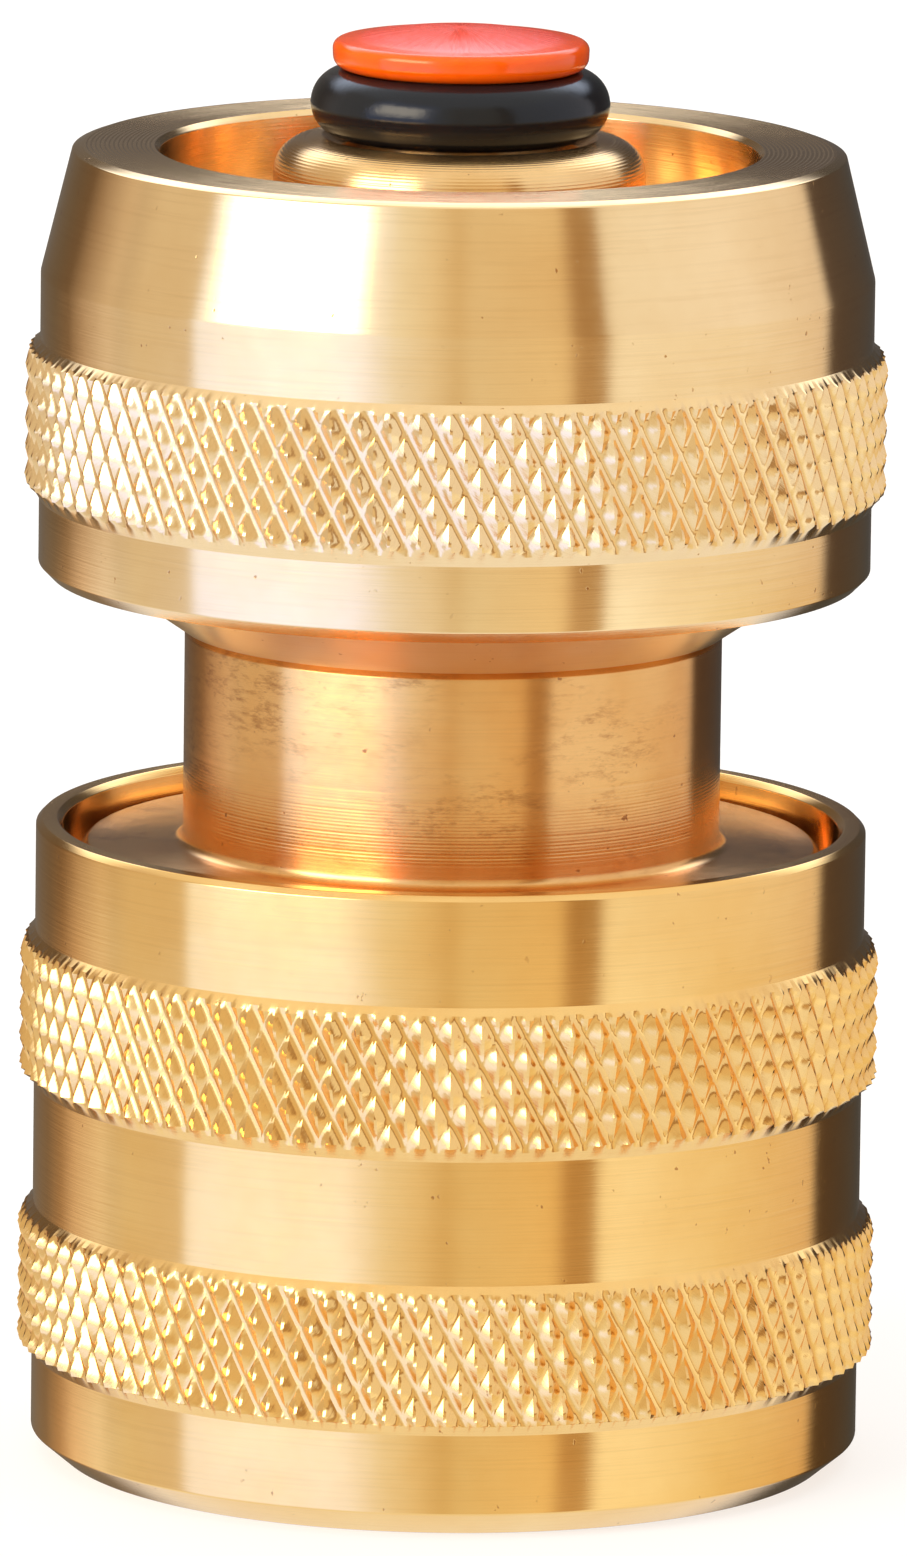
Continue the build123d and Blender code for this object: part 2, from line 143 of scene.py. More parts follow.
def outward(mesh):
    """Turns every face of a closed mesh to face out."""
    work = bmesh.new()
    work.from_mesh(mesh)
    bmesh.ops.recalc_face_normals(work, faces=work.faces)
    if work.calc_volume(signed=True) < 0:
        bmesh.ops.reverse_faces(work, faces=work.faces)
    work.to_mesh(mesh)
    work.free()


def lathe(name, rings, closed=True, splits=None, zones=None):
    """Turned piece from its circles, with each band's splits and zone. An open one ends on the axis."""
    starts, total = [], 0
    for points in rings:
        starts.append(total)
        total += len(points)
    vertices = np.concatenate(rings)
    faces, face_zones = [], []
    last = len(rings) if closed else len(rings) - 1
    for k in range(last):
        n = (k + 1) % len(rings)
        band = band_faces(starts[k], starts[n], len(rings[k]), len(rings[n]), (splits or {}).get(k))
        faces += band
        face_zones += [(zones or {}).get(k, 0)] * len(band)
    if not closed:
        for k in (0, len(rings) - 1):
            centre = len(vertices)
            vertices = np.concatenate([vertices, [[0, 0, rings[k][0][2]]]])
            count = len(rings[k])
            faces += [(starts[k] + i, starts[k] + (i + 1) % count, centre) for i in range(count)]
            face_zones += [0] * count
    return make_piece(name, vertices, faces, face_zones)


# ---------------------------------------------------------------- knurling

GROOVE_DEPTHS = (0.37, 0.30)   # the falling and the rising groove family
GROOVE_SLOPES = (0.80, 0.92)   # share of the half pitch that is slope; the rest is the groove's flat bottom
KNURL_HEIGHT = 2.12            # one diamond, measured along the axis
UPPER_BEVEL, LOWER_BEVEL = 0.26, 0.40
BEVEL_GAP = 0.03               # least height between a bevel and the first row of diamonds
VALLEY_RISE = 0.02             # bevels end this far above the valleys
LIFT_SPREAD = 0.008            # unevenness of the crests
ROWS_PER_KNURL = 10
random_lift = np.random.default_rng(7)


def knurl_phases(angles, height, shift, middle):
    """Places across the two crossing groove families, from -1 to 1 between groove centres."""
    around = (angles - math.radians(shift)) * KNURLS_AROUND / (2 * math.pi)
    along = (height - middle) / KNURL_HEIGHT
    return [2 * ((around + side * along + 0.5) % 1) - 1 for side in (1, -1)]


def knurl_band(grip_r, crest_r, bottom, top, shift, middle):
    """Circles and cell splits of a band of raised diamonds between two bevels."""
    angles = np.arange(FINE) * 2 * math.pi / FINE
    pace = KNURL_HEIGHT / ROWS_PER_KNURL
    first = math.ceil((bottom + LOWER_BEVEL + BEVEL_GAP - middle) / pace)
    last = math.floor((top - UPPER_BEVEL - BEVEL_GAP - middle) / pace)
    heights = [middle + pace * row for row in range(first, last + 1)]
    valley_r = crest_r - GROOVE_DEPTHS[0]
    lift = random_lift.normal(0, LIFT_SPREAD, (len(heights), FINE // ROWS_PER_KNURL))
    splits = []
    rings = [ring(grip_r, bottom, FINE), ring(valley_r + VALLEY_RISE, bottom + LOWER_BEVEL, FINE)]
    for row, height in enumerate(heights):
        u1, u2 = knurl_phases(angles, height, shift, middle)
        cuts = [depth * np.minimum(1, np.abs(u) / slope)
                for u, depth, slope in zip((u1, u2), GROOVE_DEPTHS, GROOVE_SLOPES)]
        cut = np.maximum(*cuts)
        radii = crest_r - cut + np.repeat(lift[row], ROWS_PER_KNURL) * (1 - cut / GROOVE_DEPTHS[0])
        rings.append(ring(radii, height, FINE))
    rings.append(ring(valley_r + VALLEY_RISE, top - UPPER_BEVEL, FINE))
    rings.append(ring(grip_r, top, FINE))
    for row in range(len(heights) - 1):
        cell_angles = angles + math.pi / FINE
        u1, u2 = knurl_phases(cell_angles, (heights[row] + heights[row + 1]) / 2, shift, middle)
        splits.append(np.abs(u1) > np.abs(u2))
    return rings, splits


def banded_lathe(name, parts):
    """Turned piece whose outline alternates plain outlines and knurled bands."""
    rings, splits, zones = [], {}, {}
    for part in parts:
        if isinstance(part, list):
            rings += plain_rings(part)
            continue
        band_rings, band_splits = part
        first_row = len(rings) + 2
        for k, split in enumerate(band_splits):
            splits[first_row + k] = split
        for k in range(len(rings), len(rings) + len(band_rings) - 1):
            zones[k] = 1
        rings += band_rings
    return lathe(name, rings, splits=splits, zones=zones)


# ---------------------------------------------------------------- the CAD's places, in millimetres

def span(node):
    """Lowest height, highest height and radius of a CAD node."""
    low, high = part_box(node)
    return low.z / MM, high.z / MM, high.x / MM


SLEEVE_LOW, SLEEVE_HIGH, KNURL_R = span("release_sleeve")
_, NUT_HIGH, _ = span("hose_nut")
TAIL_LOW, NECK_TOP, FLANGE_R = span("tail_body")
_, _, HEAD_R = span("socket_body")
TUBE_LOW, DOME_HIGH, TUBE_FLANGE_R = span("valve_tube")
SEAL_LOW, SEAL_HIGH, SEAL_OUT_R = span("nose_o_ring")
CAP_LOW, CAP_HIGH, CAP_R = span("stem_cap")
GRIP_R = KNURL_R - 0.6
RUN_OUT = 0.1         # plain strip beside a knurled band


# ---------------------------------------------------------------- pieces

FACING_FEED, FACING_DEPTH = 0.17, 0.017
NECK_FEED = 0.13


def wave_line(start, end, offset):
    """Outline points of one tool mark, from start to just before end, dipping by offset half way."""
    points = []
    for k in range(4):
        dip = 0.5 - 0.5 * math.cos(math.pi * k / 2)
        points.append(tuple(start[i] + (end[i] - start[i]) * k / 4 + offset[i] * dip for i in (0, 1)))
    return points


def faced_ring(outer, inner, height):
    """Outline of a flat end face with fine tool marks, from its outer to its inner edge."""
    count = round((outer - inner) / FACING_FEED)
    pace = (inner - outer) / count
    points = []
    for k in range(count):
        r = outer + pace * k
        points += wave_line((r, height), (r + pace, height), (0, -FACING_DEPTH))
    return points + [(inner, height)]


def declare(piece, body, node):
    """Says which body moves a piece and which CAD node it replaces."""
    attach(piece, body)
    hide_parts(node)
    return piece


def build_release_sleeve():
    """Knurled sleeve with the tapered rim, the cam land and the relief for the balls."""
    low, top = SLEEVE_LOW, SLEEVE_HIGH
    band_low, band_high, band_middle, band_shift = low + 2.95, low + 9.05, low + 8.02, 1.4
    foot_chamfer, taper_foot = 0.45, top - 4.85
    rim_side_r, rim_r, rim_side = 14.75, 14.35, top - 0.15
    mouth_edge_r, mouth_r, mouth_edge = 11.6, 11.4, top - 0.2
    bore_r, relief_r, foot_bore_r = 10.65, 12.1, HEAD_R + 0.05
    mouth_floor, relief_top, relief_foot, cam_foot, land_foot = [
        top - depth for depth in (4.05, 4.65, 6.53, 9.75, 10.45)
    ]
    rim_edge = top - 0.01
    foot = rounded([
        (foot_bore_r, low),
        (GRIP_R - foot_chamfer, low, 0.06),
        (GRIP_R, low + foot_chamfer, 0.10),
        (GRIP_R, band_low - RUN_OUT),
    ], closed=False)
    knurls = knurl_band(GRIP_R, KNURL_R, band_low, band_high, band_shift, band_middle)
    head = rounded([
        (GRIP_R, band_high + RUN_OUT),
        (GRIP_R, taper_foot, 0.5),
        (rim_side_r, rim_side, 0.10),
        (rim_r, rim_edge, 0.06),
        (rim_r - 0.07, rim_edge),
    ], closed=False)
    bore = rounded([
        (mouth_edge_r, rim_edge),
        (mouth_r, mouth_edge, 0.06),
        (mouth_r, mouth_floor),
        (bore_r, mouth_floor),
        (bore_r, relief_top),
        (relief_r, relief_top),
        (relief_r, relief_foot),
        (bore_r, cam_foot),
        (bore_r, land_foot),
        (foot_bore_r, land_foot),
    ], closed=False)
    rim = faced_ring(rim_r - 0.1, mouth_edge_r + 0.05, top)
    piece = banded_lathe("release_sleeve_turned", [foot, knurls, head, rim, bore])
    for face in piece.data.polygons:
        if face.center.xy.length < (mouth_edge_r + 0.02) * MM:
            face.material_index = 2
    return declare(piece, "sleeve", "release_sleeve")


def build_hose_nut():
    """Knurled clamping nut with its rim, thread root and collet taper."""
    top = NUT_HIGH
    hose_r, foot_r, foot_chamfer = 9.75, 14.75, 0.95
    lower_low, lower_high, lower_middle, lower_shift = 4.0, 9.75, 8.9, -1.7
    upper_low, upper_high, upper_middle, upper_shift = 14.5, 20.4, 19.34, -1.5
    rim_edge, rim_bore_r, flange_seat = 0.22, 14.85, top - 3.15
    thread_r, thread_depth, thread_high, thread_low = 13.75, 0.75, 20.5, 12.4
    collet_r, collet_top, taper_top, taper_foot, taper_foot_r = 12.5, 12.0, 10.5, 3.0, 10.15
    foot = rounded([
        (hose_r, 0.0, 0.1),
        (foot_r, 0.0, 0.15),
        (GRIP_R, foot_chamfer, 0.15),
        (GRIP_R, lower_low - RUN_OUT),
    ], closed=False)
    lower = knurl_band(GRIP_R, KNURL_R, lower_low, lower_high, lower_shift, lower_middle)
    waist_low, waist_high = lower_high + RUN_OUT, upper_low - RUN_OUT
    waist = [(GRIP_R, waist_low), (GRIP_R, (waist_low + waist_high) / 2), (GRIP_R, waist_high)]
    upper = knurl_band(GRIP_R, KNURL_R, upper_low, upper_high, upper_shift, upper_middle)
    rim = rounded([
        (GRIP_R, upper_high + RUN_OUT),
        (GRIP_R, top - rim_edge, 0.10),
        (GRIP_R - rim_edge, top, 0.08),
        (rim_bore_r + rim_edge, top, 0.10),
        (rim_bore_r, top - rim_edge, 0.10),
        (rim_bore_r, flange_seat),
        (thread_r, flange_seat),
    ], closed=False)
    thread = thread_rings(thread_r, -thread_depth, thread_high, thread_low)
    taper = [
        (thread_r, collet_top),
        (collet_r, collet_top),
        (collet_r, taper_top),
        (taper_foot_r, taper_foot),
        (hose_r, taper_foot),
    ]
    piece = banded_lathe("hose_nut_turned", [foot, lower, waist, upper, rim, (thread, []), taper])
    return declare(piece, "nut", "hose_nut")


def thread_rings(root_r, height, start, end, pitch=1.5, rows=10):
    """Circles of a right-hand thread that fades at both ends. A nut's thread has a negative height."""
    count = max(2, int(abs(end - start) / pitch * rows))
    angles = np.arange(COARSE) * 2 * math.pi / COARSE
    rings = []
    for k in range(count + 1):
        z = start + (end - start) * k / count
        phase = (z / pitch - angles / (2 * math.pi)) % 1
        wave = np.clip(1.6 - 5 * np.abs(phase - 0.5), 0, 1)
        fade = min(1, abs(z - start) / pitch, abs(end - z) / pitch)
        rings.append(ring(root_r + height * wave * fade, z))
    return rings


def neck_marks(neck_r, low, high, foot):
    """Outline of the neck's tool marks, which get shallower with height above foot."""
    depth = np.random.default_rng(3)
    points = []
    z = low
    while z < high:
        fade = 1.4 - 0.9 * (z - foot) / (high - foot)
        cut = (0.003 + 0.007 * depth.random()) * fade
        points += wave_line((neck_r, z), (neck_r, z + NECK_FEED), (-cut, 0))
        z += NECK_FEED
    return points


def build_tail_body():
    """Neck with tool marks, flange, clamping thread and the barbed tail."""
    top, flange_top = NECK_TOP, NUT_HIGH - 0.8
    neck_r, fillet_r, marks_top = 10.28, 0.8, top - 4.6
    water_r, root_r, barb_r, barb_count = 4.8, 6.0, 6.6, 3
    barb_rise, barb_pitch = 2.45, 2.567
    tail_end, shoulder, thread_r, thread_depth = 11.2, 12.2, 12.8, 0.75
    flange_low, flange_edge, neck_edge = 21.6, 0.25, 0.25
    spigot_r, spigot_floor, seat_r, seat_floor = 9.5, 26.4, 8.63, 24.7
    bore_r, ring_r, ring_low, ring_high, bore_floor = 7.15, 7.75, 15.3, 16.1, 13.6
    barbs = []
    for k in range(barb_count):
        foot = TAIL_LOW + k * barb_pitch
        barbs += [(root_r, foot), (barb_r, foot + barb_rise, 0.05), (barb_r, foot + barb_pitch, 0.05)]
    tail = rounded([
        (water_r, TAIL_LOW),
        *barbs,
        (root_r, tail_end),
        (root_r, shoulder),
        (thread_r, shoulder, 0.3),
        (thread_r, shoulder + 0.8),
    ], closed=False)
    thread = thread_rings(thread_r, thread_depth, shoulder + 0.9, flange_low - 0.9)
    upper = rounded([
        (thread_r, flange_low - 0.8),
        (thread_r, flange_low),
        (FLANGE_R, flange_low, 0.1),
        (FLANGE_R, flange_top - flange_edge, 0.12),
        (FLANGE_R - flange_edge, flange_top, 0.12),
        (neck_r, flange_top, fillet_r),
        (neck_r, flange_top + fillet_r + 0.04),
    ], closed=False, steps=6)
    marks = neck_marks(neck_r, flange_top + fillet_r + 0.06, marks_top, flange_top)
    crown = rounded([
        (neck_r, marks_top + 0.3),
        (neck_r, top - neck_edge, 0.08),
        (neck_r - neck_edge, top, 0.05),
        (spigot_r, top),
        (spigot_r, spigot_floor),
        (seat_r, spigot_floor),
        (seat_r, seat_floor),
        (bore_r, seat_floor),
        (bore_r, ring_high),
        (ring_r, ring_high),
        (ring_r, ring_low),
        (bore_r, ring_low),
        (bore_r, bore_floor),
        (water_r, bore_floor),
    ], closed=False)
    rings = plain_rings(tail) + thread + plain_rings(upper + marks + crown)
    return declare(lathe("tail_body_turned", rings), "coupler", "tail_body")


def build_valve_tube():
    """Sliding tube whose domed nose, turned in fine steps, shuts on the O-ring."""
    tube_r, foot_r, bore_r, lip_r, throat_r = 7.1, 6.7, 5.2, 5.25, 4.6
    flange_low, flange_high = 38.0, 39.3
    lip_height = 0.25
    dome, dome_r, mark_depth, mark_angle = DOME_HIGH - lip_height, 1.3, 0.014, 1.5
    throat_high, throat_low, bore_top = 50.6, 48.4, 47.8
    shoulder = []
    for k in range(round(90 / mark_angle) + 1):
        a = math.radians(mark_angle * k)
        r = dome_r - mark_depth * (0.5 - 0.5 * math.cos(math.pi * k / 2))
        shoulder.append((tube_r - dome_r + r * math.cos(a), dome - dome_r + r * math.sin(a)))
    outline = rounded([
        (bore_r, TUBE_LOW, 0.1),
        (foot_r, TUBE_LOW, 0.1),
        (tube_r, TUBE_LOW + 0.4, 0.1),
        (tube_r, flange_low, 0.1),
        (TUBE_FLANGE_R, flange_low, 0.15),
        (TUBE_FLANGE_R, flange_high, 0.15),
        (tube_r, flange_high, 0.1),
        *shoulder,
        (lip_r, dome + 0.12, 0.08),
        (throat_r, throat_high, 0.1),
        (throat_r, throat_low, 0.1),
        (bore_r, bore_top, 0.1),
    ], steps=8)
    return declare(lathe("valve_tube_turned", plain_rings(outline)), "valve", "valve_tube")


def build_nose_o_ring():
    """Rubber ring of round section with the faint parting line of its mould."""
    wire = (SEAL_HIGH - SEAL_LOW) / 2
    centre_r, centre_z = SEAL_OUT_R - wire, (SEAL_LOW + SEAL_HIGH) / 2
    count, flash_height, flash_spread = 64, 0.012, 12
    outline = []
    for k in range(count):
        a = 2 * math.pi * k / count
        from_side = (math.degrees(a) + 180) % 360 - 180
        r = wire + flash_height * math.exp(-from_side ** 2 / flash_spread)
        outline.append((centre_r + r * math.cos(a), centre_z + r * math.sin(a)))
    return declare(lathe("nose_o_ring_rubber", plain_rings(outline)), "coupler", "nose_o_ring")


def build_stem_cap():
    """Moulded cap: shallow dome with an off-centre gate nub, a crease, and a straight edge all round."""
    edge_top, crown, bottom = CAP_HIGH - 0.36, CAP_HIGH + 0.12, SEAL_HIGH + 0.02
    stud_r, face_r, face_rise = 1.5, CAP_R - 0.8, 0.05
    nub_y, nub_height, nub_spread = 0.2, 0.05, 0.08
    crease_x, crease_slant, crease_depth, crease_width, crease_run = 0.25, 0.12, 0.025, 0.05, 0.6
    rise = crown - edge_top - face_rise
    dome_r = (face_r ** 2 + rise ** 2) / (2 * rise)
    side = rounded([
        (stud_r, CAP_LOW),
        (stud_r, bottom, 0.1),
        (CAP_R - 0.04, bottom, 0.5),
        (CAP_R, edge_top - 0.02, 0.34),
        (face_r, edge_top + face_rise),
    ], closed=False, steps=7)
    rings = plain_rings([(stud_r - 0.05, CAP_LOW)] + side)
    angles = np.arange(COARSE) * 2 * math.pi / COARSE
    circles = 40
    for k in range(1, circles):
        r = face_r * (1 - k / circles)
        x, y = r * np.cos(angles), r * np.sin(angles)
        height = crown - dome_r + np.sqrt(dome_r ** 2 - r ** 2)
        height = height + nub_height * np.exp(-(x ** 2 + (y - nub_y) ** 2) / nub_spread)
        across = (x + crease_x + crease_slant * y) / crease_width
        height = height - crease_depth * np.exp(-across ** 2) * np.clip(-y / crease_run, 0, 1)
        rings.append(ring(r, height))
    piece = lathe("stem_cap_moulded", rings, closed=False)
    return declare(piece, "coupler", "stem_cap")


def build_spring(node, turns, place):
    """Coil of round wire with closed, ground ends."""
    low, high, out_r = place
    wire, ground, closed_turns = 0.9, 0.12, 0.75
    mean_r = out_r - wire / 2
    steps_per_turn, side_count = 48, 14
    total = turns + 2 * closed_turns
    count = int(total * steps_per_turn)
    vertices, faces = [], []
    for k in range(count + 1):
        t = total * k / count
        active = np.clip((t - closed_turns) / turns, 0, 1)
        climb = 0.35 * active * active * (3 - 2 * active) + 0.65 * active
        a = 2 * math.pi * t
        outwards = np.array([math.cos(a), math.sin(a), 0])
        middle = outwards * mean_r + np.array([0, 0, low + wire / 2 + (high - low - wire) * climb])
        for s in range(side_count):
            b = 2 * math.pi * s / side_count
            spot = middle + (outwards * math.cos(b) + np.array([0, 0, math.sin(b)])) * wire / 2
            spot[2] = np.clip(spot[2], low + ground, high - ground)
            vertices.append(spot)
    for k in range(count):
        for s in range(side_count):
            n = (s + 1) % side_count
            a, b = k * side_count, (k + 1) * side_count
            faces.append((a + s, a + n, b + n, b + s))
    faces.append(tuple(range(side_count)))
    faces.append(tuple(count * side_count + s for s in range(side_count))[::-1])
    piece = declare(make_piece(node + "_coil", vertices, faces), "coupler", node)
    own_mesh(piece)
    return piece


# ---------------------------------------------------------------- materials

class Nodes:
    """Short hand for building a node tree."""

    def __init__(self, tree):
        self.tree = tree

    def add(self, kind, inputs=(), **settings):
        node = self.tree.nodes.new(kind)
        for key, value in settings.items():
            setattr(node, key, value)
        for key, value in dict(inputs).items():
            self.put(node.inputs[key], value)
        return node

    def put(self, socket, value):
        if isinstance(value, bpy.types.NodeSocket):
            self.tree.links.new(value, socket)
        else:
            socket.default_value = value

    def math(self, operation, a, b=0.0):
        return self.add("ShaderNodeMath", {0: a, 1: b}, operation=operation).outputs[0]

    def times(self, a, b):
        return self.math("MULTIPLY", a, b)

    def noise(self, vector, scale, detail=2.0, roughness=0.5):
        inputs = {"Vector": vector, "Scale": scale, "Detail": detail, "Roughness": roughness}
        return self.add("ShaderNodeTexNoise", inputs).outputs["Fac"]

    def stretch(self, value, low, high, to_low=0.0, to_high=1.0):
        inputs = {"Value": value, "From Min": low, "From Max": high, "To Min": to_low, "To Max": to_high}
        return self.add("ShaderNodeMapRange", inputs).outputs["Result"]

    def ease(self, value, low, high):
        inputs = {"Value": value, "From Min": low, "From Max": high}
        return self.add("ShaderNodeMapRange", inputs, interpolation_type="SMOOTHSTEP").outputs["Result"]

    def mix(self, share, a, b):
        node = self.add("ShaderNodeMix", {0: share}, data_type="RGBA")
        for key, value in ((6, a), (7, b)):
            self.put(node.inputs[key], (*value, 1) if isinstance(value, tuple) else value)
        return node.outputs[2]

    def bump(self, height, distance):
        return self.add("ShaderNodeBump", {"Height": height, "Distance": distance}).outputs[0]


class Surface(Nodes):
    """A material of one Principled shader, with places in the object's own metres."""

    def __init__(self, name):
        self.material = bpy.data.materials.new(name)
        self.material.use_nodes = True
        super().__init__(self.material.node_tree)
        self.shader = self.tree.nodes["Principled BSDF"]
        self.place = self.add("ShaderNodeTexCoord").outputs["Object"]

    def scaled(self, x, y, z, offset=0.0):
        mapping = self.add("ShaderNodeMapping", {"Vector": self.place})
        mapping.inputs["Scale"].default_value = (x, y, z)
        mapping.inputs["Location"].default_value = (offset, offset * 0.7, offset * 0.3)
        return mapping.outputs[0]

    def polar(self):
        """The place's x, y and z and its distance from the axis."""
        x, y, z = self.add("ShaderNodeSeparateXYZ", {0: self.place}).outputs
        return x, y, z, self.math("SQRT", self.math("ADD", self.times(x, x), self.times(y, y)))

    def set(self, **values):
        for key, value in values.items():
            self.put(self.shader.inputs[key.replace("_", " ")], value)


def lathe_marks(n, along, around):
    """Height of fine turned lines: quick across the tool's feed, slow round the axis."""
    x, y, z, radius = n.polar()
    feed = n.math("ADD", z, n.times(radius, 1.3))
    parts = {0: n.times(x, around), 1: n.times(y, around), 2: n.times(feed, along)}
    return n.noise(n.add("ShaderNodeCombineXYZ", parts).outputs[0], 1.0, 3.0, 0.65)


def brass(name, base, worn, spot_colour, roughness, anisotropic, line_bump, stain=0.0):
    """Turned brass: fine lines from the tool, cloudy tarnish, small reddish pits and stains."""
    n = Surface(name)
    lines = lathe_marks(n, 9000, 130)
    cloud = n.noise(n.scaled(1, 1, 1), 210, 4.0, 0.6)
    blotch = n.noise(n.scaled(1, 1, 1, 3.1), 620, 5.0, 0.7)
    pits = n.noise(n.scaled(1, 1, 0.8, 5.7), 2600, 2.0, 0.6)
    colour = n.mix(n.stretch(cloud, 0.35, 0.72), base, worn)
    colour = n.mix(n.times(n.stretch(lines, 0.5, 0.75), 0.12), colour, spot_colour)
    fleck = n.times(n.stretch(pits, 0.715, 0.75), n.stretch(cloud, 0.42, 0.55))
    colour = n.mix(fleck, colour, spot_colour)
    if stain:
        smear = n.noise(n.scaled(0.5, 0.5, 1.6, 9.3), 1500, 8.0, 0.8)
        where = n.stretch(n.noise(n.scaled(1, 1, 1.4, 4.4), 170, 3.0, 0.5), 0.42, 0.62)
        smear = n.times(n.times(n.stretch(smear, 0.50, 0.64), where), stain)
        colour = n.mix(smear, colour, spot_colour)
    height = n.math("SUBTRACT", lines, n.times(fleck, 0.8))
    n.set(Base_Color=colour, Metallic=1.0, Anisotropic=anisotropic, Anisotropic_Rotation=0.25)
    n.set(Roughness=n.stretch(blotch, 0.3, 0.8, roughness - 0.02, roughness + 0.04))
    n.set(Normal=n.bump(height, line_bump * MM))
    tangent = n.add("ShaderNodeTangent", direction_type="RADIAL", axis="Z")
    n.set(Tangent=tangent.outputs[0])
    return n.material


def knurled_brass(name, base, worn, spot_colour):
    """Rolled diamonds: burnished slopes with small dents and a little grime."""
    n = Surface(name)
    grain = n.noise(n.scaled(1, 1, 1), 3800, 3.0, 0.6)
    dents = n.noise(n.scaled(1, 1, 1, 2.3), 1500, 2.0, 0.5)
    colour = n.mix(n.stretch(grain, 0.4, 0.75), base, worn)
    colour = n.mix(n.times(n.stretch(dents, 0.66, 0.74), 0.5), colour, spot_colour)
    n.set(Base_Color=colour, Metallic=1.0)
    n.set(Roughness=n.stretch(dents, 0.3, 0.7, 0.1, 0.24))
    n.set(Normal=n.bump(n.math("ADD", grain, n.times(dents, 2.0)), 0.018 * MM))
    return n.material


def rubber():
    """Moulded black rubber: soft sheen, fine grain and faint dust along the ring."""
    n = Surface("black_rubber")
    grain = n.noise(n.scaled(1, 1, 1), 5200, 3.0, 0.6)
    streak = n.noise(n.scaled(0.4, 0.4, 5), 900, 3.0, 0.6)
    dust = n.stretch(streak, 0.62, 0.8)
    n.set(Base_Color=n.mix(n.times(dust, 0.25), (0.009, 0.009, 0.009), (0.045, 0.045, 0.047)))
    n.set(Roughness=n.stretch(grain, 0.3, 0.75, 0.13, 0.20), Specular_IOR_Level=0.3)
    n.set(Specular_Tint=(1.0, 0.93, 0.84, 1.0))
    n.set(Normal=n.bump(grain, 0.006 * MM))
    return n.material


def cap_plastic():
    """Glossy orange-red plastic, redder in its face, with fine radial scratches."""
    n = Surface("cap_plastic")
    x, y, z, radius = n.polar()
    angle = n.math("ARCTAN2", y, x)
    spokes = n.add("ShaderNodeCombineXYZ", {0: n.times(angle, 26.0), 1: n.times(radius, 500.0)})
    scratch = n.noise(spokes.outputs[0], 1.0, 4.0, 0.7)
    grain = n.noise(n.scaled(1, 1, 1), 1700, 3.0, 0.6)
    face = n.stretch(z, CAP_HIGH * MM - 0.00045, CAP_HIGH * MM - 0.00022)
    colour = n.mix(face, (1.0, 0.108, 0.0005), (0.95, 0.050, 0.004))
    colour = n.mix(n.times(n.stretch(grain, 0.5, 0.8), 0.2), colour, (0.80, 0.03, 0.004))
    n.set(Base_Color=colour, Subsurface_Weight=0.15, Subsurface_Scale=0.0006)
    n.shader.inputs["Subsurface Radius"].default_value = (1.0, 0.3, 0.1)
    worn = n.stretch(scratch, 0.35, 0.7, 0.02, 0.26)
    n.set(Roughness=n.math("ADD", n.times(worn, face), 0.10), Specular_IOR_Level=0.6)
    n.set(Specular_Tint=(1.0, 0.72, 0.5, 1.0))
    height = n.math("ADD", n.times(n.times(scratch, face), 0.8), n.times(grain, 0.15))
    n.set(Normal=n.bump(height, 0.03 * MM))
    return n.material


def steel(name, base, roughness, grain_scale):
    """Drawn or polished steel with fine grain."""
    n = Surface(name)
    grain = n.noise(n.scaled(1, 1, 4), grain_scale, 3.0, 0.6)
    n.set(Base_Color=n.mix(n.stretch(grain, 0.4, 0.7), base, tuple(0.75 * c for c in base)), Metallic=1.0)
    n.set(Roughness=n.stretch(grain, 0.3, 0.7, roughness, roughness + 0.12))
    n.set(Normal=n.bump(grain, 0.004 * MM))
    return n.material


def plastic(name, base, roughness):
    """Moulded engineering plastic with a faint texture and flow clouds."""
    n = Surface(name)
    grain = n.noise(n.scaled(1, 1, 1), 2400, 3.0, 0.6)
    cloud = n.noise(n.scaled(1, 1, 1, 1.7), 160, 3.0, 0.5)
    n.set(Base_Color=n.mix(n.stretch(cloud, 0.3, 0.7), base, tuple(0.86 * c for c in base)))
    n.set(Roughness=n.stretch(grain, 0.3, 0.7, roughness, roughness + 0.15))
    n.set(Normal=n.bump(grain, 0.01 * MM))
    return n.material


def wear(piece, *materials):
    """Gives a piece its materials, one per zone."""
    piece.data.materials.clear()
    for material in materials:
        piece.data.materials.append(material)


# ---------------------------------------------------------------- build

PALE, PALE_WORN = (0.93, 0.62, 0.28), (0.88, 0.56, 0.235)
YELLOW, YELLOW_WORN = (0.92, 0.545, 0.175), (0.88, 0.49, 0.14)
REDDISH = (0.52, 0.23, 0.06)
NECK, NECK_WORN = (0.85, 0.465, 0.16), (0.78, 0.38, 0.11)
NECK_STAIN = (0.42, 0.17, 0.05)

pale = brass("pale_brass", PALE, PALE_WORN, REDDISH, 0.16, 0.85, 0.005)
yellow = brass("yellow_brass", YELLOW, YELLOW_WORN, REDDISH, 0.16, 0.85, 0.005)
neck_brass = brass("neck_brass", NECK, NECK_WORN, NECK_STAIN, 0.22, 0.9, 0.004, stain=0.8)
cone_brass = brass("cone_brass", (0.94, 0.66, 0.33), (0.90, 0.60, 0.28), REDDISH, 0.32, 0.9, 0.012)
nose_brass = brass("nose_brass", (0.90, 0.55, 0.22), (0.80, 0.45, 0.15), REDDISH, 0.22, 0.9, 0.012)
pale_knurl = knurled_brass("pale_knurl", (0.91, 0.585, 0.255), (0.84, 0.50, 0.20), REDDISH)
yellow_knurl = knurled_brass("yellow_knurl", (0.91, 0.525, 0.165), (0.85, 0.46, 0.125), REDDISH)
spring_steel = steel("spring_steel", (0.55, 0.55, 0.54), 0.25, 1800)
ball_steel = steel("ball_steel", (0.72, 0.72, 0.72), 0.08, 900)
black_rubber = rubber()

